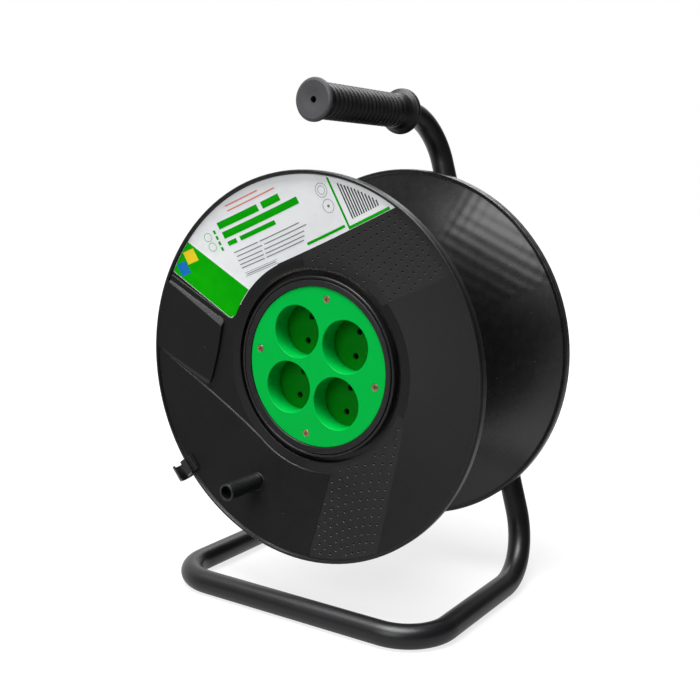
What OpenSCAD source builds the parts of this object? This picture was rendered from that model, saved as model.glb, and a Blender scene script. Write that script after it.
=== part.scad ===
// Hand-carried cable reel: a dished plastic drum with four sockets turns on a bent steel tube stand.
// Millimetres. X is to the right, Y goes from the socket side to the back, Z is up from the floor.

/* [Node] */
// Which piece is drawn

/* [Stand] */
// Height of the drum axle above the floor
axle_height = 186; // [160:1:220]
// Outer diameter of the stand tube
tube_diameter = 18; // [14:1:25]
// Wall of the stand tube
tube_wall = 1.5; // [1:0.1:3]
// Centre line of the front floor rail, in front of the middle of the drum
front_rail_offset = 90; // [85:1:120]
// Half the distance between the two side rails
side_rail_offset = 114.5; // [90:0.5:130]
// Distance of the rear tube plane behind the middle of the drum
rear_plane_offset = 88; // [86:1:100]
// Bend radius of the two front floor corners
front_bend_radius = 35; // [30:1:70]
// Bend radius where the rails turn up at the back
rear_bend_radius = 50; // [30:1:60]
// Bend radius between the upright and the handle
handle_bend_radius = 40; // [30:1:46]
// Lean of the upright towards the middle
upright_lean = 15.9; // [10:0.1:20]
// Height of the handle centre line above the floor, at its bend
handle_height = 375.3; // [350:0.1:400]
// Rise of the handle towards its front end
handle_tilt = 1.7; // [0:0.1:4]
// Where the handle tube ends, in front of the middle of the drum
handle_tube_end = 76; // [60:1:90]

/* [Handle grip] */
// Front end of the grip, in front of the middle of the drum
grip_front = 81; // [70:1:95]
// Rear end of the grip, behind the middle of the drum
grip_rear = 40.5; // [30:0.5:41]
// Diameter of the smooth grip body
grip_diameter = 23.6; // [20:0.2:30]
// Diameter over the ribs
grip_rib_diameter = 26; // [22:0.2:34]
// Diameter of the front end disc
grip_front_disc = 30.6; // [26:0.2:40]
// Diameter of the rear hand stop
grip_rear_disc = 35.2; // [30:0.2:45]
// Number of ribs
grip_rib_count = 17; // [10:1:22]
// Rib spacing
grip_rib_pitch = 5.3; // [4:0.1:7]
// Air hole in the front end
grip_air_hole = 4.8; // [3:0.1:6]

/* [Drum] */
// Outer diameter of the flanges
flange_diameter = 290; // [240:1:330]
// Overall width over the two rims
drum_width = 152; // [120:1:155]
// Depth of the rolled rim
rim_depth = 6; // [4:0.5:10]
// Radial thickness of the rim lip
rim_thickness = 2.6; // [2:0.1:4]
// Height of the rim lip over the face beside it
rim_height = 2.6; // [1:0.1:5]
// Thickness of the flange wall
flange_thickness = 2.5; // [2:0.1:4]
// Radius where the dished face meets the flat middle
dish_radius = 80.3; // [76:0.1:90]
// How far the flat middle lies behind the rim
dish_depth = 17.5; // [10:0.1:20]
// Radius of the round opening in the front flange
front_opening_radius = 72.3; // [70.6:0.1:74]
// Outer radius of the winding core
core_radius = 75.5; // [74:0.1:78]
// Wall of the winding core
core_wall = 2.8; // [2:0.1:4]
// Step height of the raised face fields
field_step = 0.7; // [0.3:0.1:1]

/* [Face fields] */
// Angle at which the right field leaves the middle circle
right_field_angle = -7.2; // [-20:0.1:10]
// Direction of the upper edge of the right field
right_field_edge_angle = 24.4; // [10:0.1:40]
// Distance of that edge from the axle
right_field_edge_distance = 23.3; // [10:0.1:40]
// Angle at which the lower left field leaves the middle circle
left_field_angle = -124.6; // [-140:0.1:-100]
// Direction of the right edge of the lower left field, from the vertical
left_field_edge_angle = 8.3; // [0:0.1:20]
// Distance of that edge from the axle
left_field_edge_distance = 25.4; // [10:0.1:40]
// Height of the raised pad over the dished face, at its inner edge
pad_height = 4; // [2:0.1:6]
// Height of the pad beside the rim
pad_rim_height = 1.6; // [1:0.1:4]

/* [Label] */
// Angle of the label's lower straight edge
label_edge_angle = 23.3; // [10:0.1:40]
// Inner radius of the label
label_inner_radius = 82.2; // [81:0.1:90]
// Thickness of the label
label_thickness = 0.25; // [0.1:0.05:0.5]

/* [Socket unit] */
// Turn of the socket unit about the axle
socket_turn = -9.4; // [-45:0.1:45]
// Diameter of the socket panel
panel_diameter = 121; // [100:0.5:130]
// How far the panel face lies behind the rim
panel_depth = 16.6; // [10:0.1:20]
// Thickness of the socket panel
panel_thickness = 3; // [2:0.1:4]
// Spacing of the four sockets
socket_spacing = 43.8; // [42:0.1:46]
// Inner diameter of a socket recess
socket_diameter = 39.6; // [39:0.1:40]
// Depth of a socket recess
socket_depth = 17.5; // [15:0.1:19]
// Wall of a socket recess
socket_wall = 1.6; // [1.2:0.1:2]
// Distance between the two pin holes of a socket
pin_spacing = 19; // [18.8:0.1:19.2]
// Diameter of a pin hole
pin_hole_diameter = 5; // [4.9:0.1:5.4]
// Outer diameter of the bezel ring
bezel_diameter = 136.4; // [130:0.1:140]
// How far the bezel stands over the panel
bezel_rise = 0.9; // [0.2:0.1:2]
// Radius of the panel screw circle
panel_screw_radius = 52.3; // [50:0.1:54]

/* [Axle] */
// Diameter of the axle sleeve
axle_sleeve_diameter = 16; // [14:0.5:20]
// Diameter of the axle bolt
axle_bolt_diameter = 8; // [6:1:10]
// Outer diameter of the hub bushes
bush_diameter = 21; // [19:0.5:24]

/* [Cord inlet] */
// Angle of the cord inlet on the core, below the level to the right
inlet_angle = 45; // [40:1:50]
// Distance of the cord inlet behind the middle of the drum
inlet_offset = 28; // [20:1:35]
// Bore of the cord inlet bush
inlet_bore = 10; // [7:0.5:11]

/* [Crank] */
// How far inside the rim's edge the crank peg stands
crank_inset = 37; // [30:1:45]
// Angle of the crank peg at rest
crank_angle = -118; // [-180:1:180]
// Outer diameter of the crank sleeve
crank_diameter = 13; // [10:0.5:20]
// Bore of the crank sleeve
crank_bore = 9.8; // [8:0.1:11]
// Free end of the crank sleeve, in front of the middle of the drum
crank_tip = 102; // [90:0.5:104]

/* [Rim clip] */
// Angle of the clip on the rim
clip_angle = -140.5; // [-180:0.5:180]
// Length of the clip along the rim
clip_length = 12.5; // [8:0.5:20]
// Inner diameter of its cord hook
clip_hook_diameter = 12.4; // [8:0.2:14]

/* [Clearances] */
// Radial running clearance of a bush on the axle sleeve
running_clearance = 0.06; // [0.02:0.01:0.1]
// Axial play between pieces that turn against each other
side_play = 0.4; // [0.3:0.05:0.6]
// Small clearance between pieces of one body
seat_clearance = 0.03; // [0.01:0.01:0.1]

/* [Hidden] */
$fn = 96;

tube_r = tube_diameter / 2;
tube_in = tube_r - tube_wall;
rail_z = tube_r;
flange_r = flange_diameter / 2;
rim_front = drum_width / 2;
mid_face = rim_front - dish_depth;
lip_in = flange_r - rim_thickness;
lip_face = rim_front - rim_height;
slope = (lip_face - mid_face) / (lip_in - dish_radius);
back_shift = flange_thickness * sqrt(1 + slope * slope);
panel_face = rim_front - panel_depth;
panel_back = panel_face - panel_thickness;
bezel_face = panel_face + bezel_rise;
bezel_r = bezel_diameter / 2;
panel_r = panel_diameter / 2;
gap_floor = bezel_face - 7;
well_r = socket_diameter / 2;
well_out = well_r + socket_wall;
well_floor = panel_face - socket_depth;
well_back = well_floor - 2.4;
cup_back = 22;
half_pitch = socket_spacing / 2;
// The two rows of contacts that one busbar joins, and its terminal beside them.
contact_rows = [half_pitch + pin_spacing / 2, -half_pitch + pin_spacing / 2];
busbar_width = 8;
terminal_pos = [half_pitch + 11.1, pin_spacing / 2];
// Circle of the screws that hold the rear flange to the core.
hub_screw_circle = core_radius - 11.5;
hub_screw_length = 20;
core_in = core_radius - core_wall;
sleeve_r = axle_sleeve_diameter / 2;
bolt_r = axle_bolt_diameter / 2;
bush_r = bush_diameter / 2;
hub_back = mid_face + 2.7;
crank_r = crank_diameter / 2;
crank_bore_r = crank_bore / 2;
crank_radius = flange_r - crank_inset;
crank_pos = [crank_radius * cos(crank_angle), crank_radius * sin(crank_angle)];
crank_seat = mid_face + field_step + slope * (crank_radius + crank_r - dish_radius) + 0.4;
crank_pin_end = 83;
far = 260;

upright_slope = tan(upright_lean);
upright_length = (handle_height - rail_z) / cos(upright_lean);
leg_slope = side_rail_offset / (axle_height - rail_z);
leg_angle = atan(leg_slope);
// The leg ends where its centre line meets the upright's.
weld_z = (side_rail_offset + upright_slope * rail_z + leg_slope * axle_height) / (leg_slope + upright_slope);
leg_length = (weld_z - rail_z) / cos(leg_angle);
// Where the handle's straight run starts, and how long it is.
handle_start = [rear_plane_offset - handle_bend_radius * (1 - sin(handle_tilt)),
  upright_length - handle_bend_radius * (1 - cos(handle_tilt))];
handle_length = (handle_start[0] + handle_tube_end) / cos(handle_tilt);

function unit(v) = v / norm(v);
function polar(r, a) = [r * cos(a), r * sin(a)];

// Drum drawings: local x and y are the face seen from the front, local z comes out of it.
module facing(h = 0) {
  translate([0, -h, axle_height]) rotate([90, 0, 0]) children();
}

module pipe(length) {
  difference() {
    cylinder(h = length, r = tube_r);
    translate([0, 0, -1]) cylinder(h = length + 2, r = tube_in);
  }
}

module elbow(radius, angle = 90) {
  rotate_extrude(angle = angle) translate([radius, 0])
    difference() {
      circle(r = tube_r);
      circle(r = tube_in);
    }
}

// The rail turns up out of the floor plane and runs on straight to its end.
module turned_up(length) {
  translate([0, rear_plane_offset - rear_bend_radius, rear_bend_radius]) rotate([0, 90, 0]) elbow(rear_bend_radius);
  translate([0, rear_plane_offset, rear_bend_radius]) pipe(length - rear_bend_radius);
}

module in_leg_frame() {
  translate([-side_rail_offset, 0, rail_z]) rotate([0, leg_angle, 0]) children();
}

module in_upright_frame() {
  translate([side_rail_offset, 0, rail_z]) rotate([0, -upright_lean, 0]) children();
}

module in_handle_frame() {
  in_upright_frame() translate([0, handle_start[0], handle_start[1]]) rotate([90 - handle_tilt, 0, 0]) children();
}

module frame_tube() {
  rail_start = front_bend_radius - front_rail_offset;
  rail_end = rear_plane_offset - rear_bend_radius;
  color([0.07, 0.07, 0.075]) {
    union() {
      // Floor loop.
      translate([-side_rail_offset, rail_start, rail_z]) rotate([-90, 0, 0]) pipe(rail_end - rail_start);
      in_upright_frame() translate([0, rail_start, 0]) rotate([-90, 0, 0]) rotate([0, 0, 90]) pipe(rail_end - rail_start);
      translate([front_bend_radius - side_rail_offset, rail_start, rail_z]) rotate([0, 0, 180]) elbow(front_bend_radius);
      translate([side_rail_offset - front_bend_radius, rail_start, rail_z]) rotate([0, 0, -90]) elbow(front_bend_radius);
      translate([front_bend_radius - side_rail_offset, -front_rail_offset, rail_z]) rotate([0, 90, 0])
        pipe(2 * (side_rail_offset - front_bend_radius));
      // Upright, top bend and handle tube.
      in_upright_frame() {
        turned_up(upright_length - handle_bend_radius);
        translate([0, rear_plane_offset - handle_bend_radius, upright_length - handle_bend_radius])
          rotate([90, 0, 90]) elbow(handle_bend_radius, 90 - handle_tilt);
      }
      in_handle_frame() pipe(handle_length);
    }
    // The leg carries the axle and is welded to the side of the upright.
    difference() {
      in_leg_frame() turned_up(leg_length);
      in_upright_frame() translate([0, rear_plane_offset, 0]) cylinder(h = upright_length, r = tube_r - tube_wall / 2);
      translate([0, rear_plane_offset - 20, axle_height]) rotate([-90, 0, 0]) cylinder(h = 40, r = bolt_r + 0.2);
    }
  }
}

module handle_grip() {
  body = grip_diameter / 2;
  rib = grip_rib_diameter / 2;
  disc = grip_front_disc / 2;
  stop = grip_rear_disc / 2;
  bore = tube_r + seat_clearance;
  length = grip_front + grip_rear;
  first = 12.2;
  color([0.06, 0.06, 0.065])
    in_handle_frame() translate([0, 0, handle_length + grip_front - handle_tube_end]) rotate([180, 0, 0])
      difference() {
        union() {
          rotate_extrude() polygon([[0, 1.1], [4, 0.9], [9, 0.3], [disc - 2.2, 0], [disc - 0.7, 0.5], [disc, 1.6],
            [disc, 2.8], [disc - 0.8, 4], [body + 0.4, 4.8], [body, 6], [body, 30], [0, 30]]);
          translate([0, 0, 20]) cylinder(h = length - 24, r = body);
          for (i = [0:grip_rib_count - 1]) {
            translate([0, 0, first + i * grip_rib_pitch])
              rotate_extrude() polygon([[body - 1, 0], [body, 0], [rib - 0.3, 0.8], [rib, 1.3], [rib, 2.2],
                [rib - 0.3, 2.7], [body, 3.5], [body - 1, 3.5]]);
          }
          translate([0, 0, length - 17]) rotate_extrude() polygon([[body - 1, 0], [body, 0], [body + 0.7, 0.8],
            [body + 1, 6], [body + 2.2, 9.5], [stop - 1.6, 11.6], [stop - 0.4, 12.4], [stop, 13.6], [stop, 14.8],
            [stop - 0.7, 16.2], [stop - 2, 17], [body - 1, 17]]);
        }
        translate([0, 0, grip_front - handle_tube_end - 0.2]) cylinder(h = length, r = bore);
        translate([0, 0, -1]) cylinder(h = 20, r = grip_air_hole / 2);
      }
}

module hex(h, across) {
  cylinder(h = h, r = across / sqrt(3), $fn = 6);
}

module axle_bolt() {
  color([0.62, 0.63, 0.65])
    translate([0, 0, axle_height]) rotate([-90, 0, 0]) {
      translate([0, 0, -17]) cylinder(h = 17 + rear_plane_offset + tube_r + 2, r = bolt_r - 0.1);
      translate([0, 0, rear_plane_offset + tube_r + 2]) hex(5, 13);
    }
}

module axle_nut() {
  color([0.62, 0.63, 0.65])
    translate([0, -6.3 - side_play, axle_height]) rotate([90, 0, 0])
      difference() {
        union() {
          hex(6.5, 13);
          cylinder(h = 8, r = 5.6);
        }
        translate([0, 0, -1]) cylinder(h = 10, r = bolt_r - 0.05);
      }
}

module axle_sleeve() {
  color([0.62, 0.63, 0.65])
    translate([0, -4.3 - side_play, axle_height]) rotate([-90, 0, 0])
      difference() {
        cylinder(h = 4.3 + side_play + hub_back + 2 + side_play + 1.5, r = sleeve_r);
        translate([0, 0, -1]) cylinder(h = 90, r = bolt_r + 0.2);
      }
}

module tube_seat() {
  in_leg_frame() translate([0, rear_plane_offset, 0]) cylinder(h = leg_length, r = tube_r + seat_clearance);
}

module axle_saddle() {
  start = hub_back + 2 + side_play + 1.5;
  color([0.1, 0.1, 0.105])
    difference() {
      translate([0, start, axle_height]) rotate([-90, 0, 0])
        cylinder(h = rear_plane_offset - 3 - start, r = 11.5);
      translate([0, start - 1, axle_height]) rotate([-90, 0, 0]) cylinder(h = 60, r = bolt_r + 0.2);
      tube_seat();
    }
}

module axle_back_saddle() {
  color([0.1, 0.1, 0.105])
    difference() {
      translate([0, rear_plane_offset + 4, axle_height]) rotate([-90, 0, 0]) cylinder(h = tube_r - 2, r = 9);
      translate([0, rear_plane_offset, axle_height]) rotate([-90, 0, 0]) cylinder(h = 30, r = bolt_r + 0.2);
      tube_seat();
    }
}

module axle_washer() {
  color([0.62, 0.63, 0.65])
    translate([0, -6.3 - side_play, axle_height]) rotate([-90, 0, 0])
      difference() {
        cylinder(h = 2, r = 13);
        translate([0, 0, -1]) cylinder(h = 4, r = bolt_r + 0.2);
      }
}

module thrust_washer() {
  color([0.62, 0.63, 0.65])
    translate([0, hub_back + 2 + side_play, axle_height]) rotate([-90, 0, 0])
      difference() {
        cylinder(h = 1.5, r = 14);
        translate([0, 0, -1]) cylinder(h = 4, r = sleeve_r + seat_clearance);
      }
}

// One flange wall with its rolled rim, seen as a half section.
module flange_section(inner) {
  polygon([[inner, mid_face], [dish_radius, mid_face], [lip_in, lip_face], [lip_in, rim_front - 0.7],
    [lip_in + 0.6, rim_front], [flange_r - 0.8, rim_front], [flange_r, rim_front - 0.8],
    [flange_r, rim_front - rim_depth], [flange_r - 0.6, rim_front - rim_depth - 0.6],
    [flange_r - 2, rim_front - rim_depth - 0.6],
    [lip_in - 0.8, lip_face - 0.8 * slope - back_shift], [dish_radius + 0.3, mid_face - flange_thickness],
    [core_radius + 2.2, mid_face - flange_thickness], [core_radius + 2.2, mid_face - flange_thickness - 6],
    [core_radius + seat_clearance, mid_face - flange_thickness - 6],
    [core_radius + seat_clearance, mid_face - flange_thickness], [inner, mid_face - flange_thickness]]);
}

// A skin of even height over the dished face, cut to an outline.
module face_skin(low, high_in, high_out, inner = dish_radius) {
  intersection() {
    facing() rotate_extrude() polygon([[inner, mid_face + slope * (inner - dish_radius) + low],
      [inner, mid_face + slope * (inner - dish_radius) + high_in], [lip_in + 0.1, lip_face + high_out],
      [lip_in + 0.1, lip_face + low]]);
    facing(40) linear_extrude(height = 50) children();
  }
}

// The fields' outer lines run just inside the tangent of the dish circle, so that they cross it cleanly.
module right_field() {
  t = polar(dish_radius - 0.3, right_field_angle);
  e = [cos(right_field_edge_angle), sin(right_field_edge_angle)];
  n = [-e[1], e[0]] * right_field_edge_distance;
  polygon([t, t + far * [sin(right_field_angle), -cos(right_field_angle)], [far, -far], [far, far / 2],
    n + far * e, n + 66 * e, [50, 20]]);
}

module lower_left_field() {
  t = polar(dish_radius - 0.3, left_field_angle);
  e = [-sin(left_field_edge_angle), -cos(left_field_edge_angle)];
  n = [-e[1], e[0]] * left_field_edge_distance;
  polygon([t, t + far * [sin(left_field_angle), -cos(left_field_angle)], [-far, -far], n + far * e,
    n + 60 * e, [0, -60]]);
}

function face_at(p) = mid_face + slope * (norm(p) - dish_radius);

// Takes off all that lies over a plane that rises from the line p to q on the dished face.
module bevel_cut(p, q, tilt) {
  x = unit(q - p);
  run = norm(q - p);
  climb = atan((face_at(q) - face_at(p)) / run);
  facing() translate([p[0], p[1], face_at(p) + 0.5]) rotate([0, 0, atan2(x[1], x[0])]) rotate([0, -climb, 0])
    rotate([tilt, 0, 0]) translate([-30, tilt > 0 ? -30 : -60, 0]) cube([run + 60, 90, 40]);
}

module pad_outline() {
  polygon([[-150, 69], [-128, 54.8], [-91, 30.2], [-87.6, 29.2], [-85.8, 26], [-90.2, 3], [-95.4, -19.5],
    [-97.4, -23.6], [-101.4, -25], [-150, 5.4]]);
}

module front_flange() {
  color([0.09, 0.09, 0.095])
    difference() {
      union() {
        facing() rotate_extrude() flange_section(front_opening_radius);
        face_skin(-0.3, field_step, field_step) right_field();
        face_skin(-0.3, field_step, field_step) lower_left_field();
        // Thin rib between the label and the pad.
        face_skin(-0.3, 0.8, 0.8) polygon([[-81.2, 29.2], [-80.4, 28.1], [-149, 73.6 - 0.7], [-149, 74.4]]);
        // Raised pad with sloping sides.
        difference() {
          intersection() {
            facing() rotate_extrude() polygon([[dish_radius, mid_face - 0.4], [dish_radius, mid_face + pad_height],
              [lip_in + 0.1, lip_face + pad_rim_height], [lip_in + 0.1, lip_face - 0.4]]);
            facing(40) linear_extrude(height = 50) pad_outline();
          }
          bevel_cut([-91, 30.2], [-128, 54.8], 42);
          bevel_cut([-101.4, -25], [-150, 5.4], -20);
        }
        // Seat of the crank peg and the pin inside its sleeve.
        intersection() {
          facing(mid_face - 1) translate(crank_pos) union() {
            cylinder(h = crank_seat - mid_face + 1, r = crank_r);
            cylinder(h = crank_pin_end - mid_face + 1, r = crank_bore_r - running_clearance);
          }
          facing() rotate_extrude() polygon([[dish_radius, mid_face - 1.2], [lip_in, lip_face - 1.2],
            [lip_in, crank_tip], [dish_radius, crank_tip]]);
        }
      }
      facing(mid_face + 6) translate(crank_pos) cylinder(h = 60, r = 2.05);
    }
}

module rear_flange() {
  color([0.09, 0.09, 0.095])
    difference() {
      union() {
        translate([0, 0, 2 * axle_height]) mirror([0, 0, 1]) mirror([0, 1, 0])
          facing() rotate_extrude() flange_section(bush_r + 3);
        translate([0, 44, axle_height]) rotate([-90, 0, 0]) cylinder(h = hub_back - 44, r = bush_r + 4.5);
        // Stiffening ribs between the screw bosses of the core.
        for (a = [75:90:345]) {
          translate([0, 0, axle_height]) rotate([0, a, 0]) translate([bush_r + 3, 47, -1])
            cube([core_in - bush_r - 5, mid_face - flange_thickness - 46.5, 2]);
        }
      }
      translate([0, 40, axle_height]) rotate([-90, 0, 0]) cylinder(h = 40, r = bush_r + seat_clearance);
      for (a = [30:90:300]) {
        translate([0, 40, axle_height]) rotate([0, a, 0]) translate([hub_screw_circle, 0, 0]) rotate([-90, 0, 0])
          cylinder(h = 40, r = 2.1);
      }
    }
}

// The cord inlet points out of the core along local z.
module in_inlet_frame() {
  translate([0, inlet_offset, axle_height]) rotate([0, 90 + inlet_angle, 0]) children();
}

module drum_core() {
  color([0.09, 0.09, 0.095])
    difference() {
      union() {
        facing(-(mid_face - flange_thickness)) difference() {
          cylinder(h = 2 * (mid_face - flange_thickness), r = core_radius);
          translate([0, 0, -1]) cylinder(h = 2 * mid_face + 10, r = core_in);
        }
        // Ledge that carries the socket cup.
        facing() rotate_extrude() polygon([[core_in - 2.4, gap_floor - 2.2], [core_in + 0.5, gap_floor - 2.2],
          [core_in + 0.5, gap_floor - 8.5], [core_in - 0.4, gap_floor - 8.5], [core_in - 2.4, gap_floor - 6]]);
        // Web across the core with the front bearing boss.
        translate([0, 1, axle_height]) rotate([-90, 0, 0]) cylinder(h = 3, r = core_in + 0.5);
        translate([0, -2.3, axle_height]) rotate([-90, 0, 0]) cylinder(h = 20.3, r = bush_r + 4.5);
        for (a = [30:90:300]) {
          translate([0, 0, axle_height]) rotate([0, a, 0]) translate([hub_screw_circle, 2, 0]) rotate([-90, 0, 0])
            cylinder(h = mid_face - flange_thickness - 2, r = 4.5);
        }
        // Boss of the cord inlet.
        in_inlet_frame() translate([0, 0, core_in - 5])
          cylinder(h = 6, r = 10);
      }
      translate([0, -10, axle_height]) rotate([-90, 0, 0]) cylinder(h = 40, r = bush_r + seat_clearance);
      for (a = [30:90:300]) {
        translate([0, 30, axle_height]) rotate([0, a, 0]) translate([hub_screw_circle, 0, 0]) rotate([-90, 0, 0])
          cylinder(h = 40, r = 1.6);
      }
      // Passage for the cord through the web to the sockets.
      for (a = [0:90:270]) {
        translate([0, -1, axle_height]) rotate([0, a, 0]) translate([42, 0, 0]) rotate([-90, 0, 0])
          cylinder(h = 8, r = 12);
      }
      in_inlet_frame() translate([0, 0, core_in - 12])
        cylinder(h = 30, r = 7.5);
    }
}

module bush(length) {
  difference() {
    union() {
      cylinder(h = length, r = bush_r);
      cylinder(h = 2, r = bush_r + 3);
    }
    translate([0, 0, -1]) cylinder(h = length + 2, r = sleeve_r + running_clearance);
  }
}

module front_hub_bush() {
  color([0.86, 0.85, 0.8])
    translate([0, -4.3, axle_height]) rotate([-90, 0, 0]) bush(20);
}

module rear_hub_bush() {
  color([0.86, 0.85, 0.8])
    translate([0, hub_back + 2, axle_height]) rotate([90, 0, 0]) bush(20);
}

module hub_screws() {
  color([0.62, 0.63, 0.65])
    for (a = [30:90:300]) {
      translate([0, 0, axle_height]) rotate([0, a, 0]) translate([hub_screw_circle, mid_face, 0]) rotate([-90, 0, 0])
        difference() {
          union() {
            translate([0, 0, -hub_screw_length]) cylinder(h = hub_screw_length + 0.5, r = 1.57);
            cylinder(h = 2.4, r1 = 4, r2 = 3.4);
          }
          for (b = [0, 90]) {
            rotate([0, 0, b]) translate([-2.2, -0.5, 1.2]) cube([4.4, 1, 3]);
          }
        }
    }
}

// Everything of the socket unit is drawn square and turned with it.
module socket_frame(h = 0) {
  facing(h) rotate([0, 0, socket_turn]) children();
}

module at_sockets() {
  for (x = [-half_pitch, half_pitch], y = [-half_pitch, half_pitch]) {
    translate([x, y, 0]) children();
  }
}

module at_pins() {
  at_sockets() for (s = [-1, 1]) {
    translate([0, s * pin_spacing / 2, 0]) children();
  }
}

module at_panel_screws() {
  for (a = [0:90:270]) {
    rotate([0, 0, a]) translate([panel_screw_radius, 0, 0]) children();
  }
}

module socket_bezel() {
  inner = panel_r + 0.15;
  ridge = bezel_r - 2.7;
  color([0.1, 0.1, 0.105])
    socket_frame()
      difference() {
        union() {
          rotate_extrude() polygon([[inner, bezel_face - 0.3], [inner + 0.3, bezel_face], [ridge - 0.8, bezel_face + 0.5],
            [ridge - 0.3, bezel_face + 0.3], [ridge, bezel_face - 0.4], [ridge, bezel_face - 1.6],
            [ridge + 0.6, bezel_face - 1.6], [ridge + 0.6, bezel_face - 0.2], [ridge + 1, bezel_face + 0.2],
            [bezel_r - 0.5, bezel_face + 0.2], [bezel_r, bezel_face - 0.4], [bezel_r, gap_floor],
            [core_in - 0.1, gap_floor], [core_in - 0.1, gap_floor - 2.2], [bezel_r, gap_floor - 2.2],
            [bezel_r, cup_back], [0, cup_back], [0, cup_back + 2], [bezel_r - 2.4, cup_back + 2],
            [bezel_r - 2.4, panel_back - 4], [inner - 2.2, panel_back - 2.2], [inner - 2.2, panel_back],
            [inner, panel_back]]);
          translate([0, 0, cup_back + 1]) at_panel_screws() cylinder(h = panel_back - cup_back - 1, r = 4);
        }
        translate([0, 0, cup_back + 8]) at_panel_screws() cylinder(h = 40, r = 1.5);
        // Cord holes in the cup floor.
        for (a = [0, 180]) {
          rotate([0, 0, a]) translate([40, 0, cup_back - 1]) cylinder(h = 5, r = 6);
        }
      }
}

module socket_panel() {
  color([0.02, 0.75, 0.4])
    socket_frame()
      difference() {
        union() {
          translate([0, 0, panel_back]) cylinder(h = panel_thickness - 0.4, r = panel_r);
          translate([0, 0, panel_face - 0.4]) cylinder(h = 0.4, r1 = panel_r, r2 = panel_r - 0.4);
          at_sockets() translate([0, 0, well_back]) cylinder(h = panel_back - well_back + 1, r = well_out);
          translate([0, 0, well_back]) cylinder(h = panel_back - well_back + 1, r = 6);
        }
        at_sockets() {
          translate([0, 0, well_floor]) cylinder(h = 30, r = well_r);
          translate([0, 0, panel_face - 0.5]) cylinder(h = 1, r1 = well_r - 0.1, r2 = well_r + 0.9);
        }
        at_pins() translate([0, 0, well_back - 1]) cylinder(h = 10, r = pin_hole_diameter / 2);
        at_panel_screws() {
          translate([0, 0, panel_back - 1]) cylinder(h = 10, r = 1.8);
          translate([0, 0, panel_face - 1.8]) cylinder(h = 2.2, r1 = 1.6, r2 = 3.4);
        }
        translate([0, 0, well_back - 1]) cylinder(h = 12, r = 1.45);
      }
}

module panel_screws() {
  color([0.72, 0.55, 0.32])
    socket_frame() at_panel_screws()
      difference() {
        union() {
          translate([0, 0, panel_face - 17]) cylinder(h = 16, r = 1.46);
          translate([0, 0, panel_face - 1.83]) cylinder(h = 1.6, r1 = 1.5, r2 = 2.86);
          translate([0, 0, panel_face - 0.25]) cylinder(h = 0.2, r1 = 2.86, r2 = 2.7);
        }
        for (b = [20, 110]) {
          rotate([0, 0, b]) translate([-1.7, -0.35, panel_face - 1]) cube([3.4, 0.7, 3]);
        }
      }
}

module contact_carrier() {
  color([0.16, 0.16, 0.17])
    socket_frame()
      difference() {
        translate([0, 0, well_back - 5.02]) cylinder(h = 5, r = 50);
        at_panel_screws() translate([0, 0, 20]) cylinder(h = 30, r = 4.3);
        at_pins() translate([0, 0, 20]) cylinder(h = 30, r = 3.3);
        translate([0, 0, 20]) cylinder(h = 30, r = 1.7);
        for (s = [-1, 1]) {
          translate([s * terminal_pos[0], s * terminal_pos[1], 20]) cylinder(h = 30, r = 1.6);
        }
      }
}

module carrier_screw() {
  color([0.62, 0.63, 0.65])
    socket_frame()
      difference() {
        union() {
          translate([0, 0, well_back - 5.04]) cylinder(h = 14, r = 1.42);
          translate([0, 0, well_back - 7.24]) cylinder(h = 2.2, r = 3);
        }
        translate([-0.4, -4, well_back - 8]) cube([0.8, 8, 1.6]);
      }
}

module busbar() {
  top = well_back - 5.04;
  start = -half_pitch - 4.6;
  end = terminal_pos[0] + busbar_width / 2;
  difference() {
    translate([0, 0, top - 0.8]) {
      for (y = contact_rows) {
        translate([start, y - busbar_width / 2, 0]) cube([end - start, busbar_width, 0.8]);
      }
      translate([end - busbar_width, contact_rows[1], 0])
        cube([busbar_width, contact_rows[0] - contact_rows[1], 0.8]);
    }
    for (x = [-half_pitch, half_pitch], y = contact_rows) {
      translate([x, y, top - 2]) cylinder(h = 4, r = 3.24);
    }
    translate([terminal_pos[0], terminal_pos[1], top - 2]) cylinder(h = 4, r = 1.6);
  }
}

module line_busbar() {
  color([0.78, 0.6, 0.3]) socket_frame() busbar();
}

module neutral_busbar() {
  color([0.78, 0.6, 0.3]) socket_frame() rotate([0, 0, 180]) busbar();
}

module contact_sleeves() {
  color([0.78, 0.6, 0.3])
    socket_frame() at_pins()
      difference() {
        translate([0, 0, well_back - 8]) cylinder(h = 7.97, r = 3.2);
        translate([0, 0, well_back - 9]) cylinder(h = 10, r = pin_hole_diameter / 2);
        translate([0.1, -0.4, well_back - 9]) cube([5, 0.8, 2.2]);
      }
}

module terminal_screws() {
  color([0.62, 0.63, 0.65])
    socket_frame() for (s = [-1, 1]) {
      translate([s * terminal_pos[0], s * terminal_pos[1], 0]) difference() {
        union() {
          translate([0, 0, well_back - 6]) cylinder(h = 5.6, r = 1.55);
          translate([0, 0, well_back - 8.26]) cylinder(h = 2.4, r = 3);
        }
        translate([-4, -0.4, well_back - 9]) cube([8, 0.8, 1.4]);
      }
    }
}

module cord_inlet_bush() {
  color([0.05, 0.05, 0.055])
    in_inlet_frame() translate([0, 0, core_in - 6])
      difference() {
        union() {
          cylinder(h = core_wall + 6, r = 7.5 - seat_clearance);
          translate([0, 0, core_wall + 6 + seat_clearance]) cylinder(h = 1.4, r = 9.4);
          translate([0, 0, core_wall + 5]) cylinder(h = 2, r = 7.4);
        }
        translate([0, 0, -1]) cylinder(h = 20, r = inlet_bore / 2);
      }
}

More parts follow.
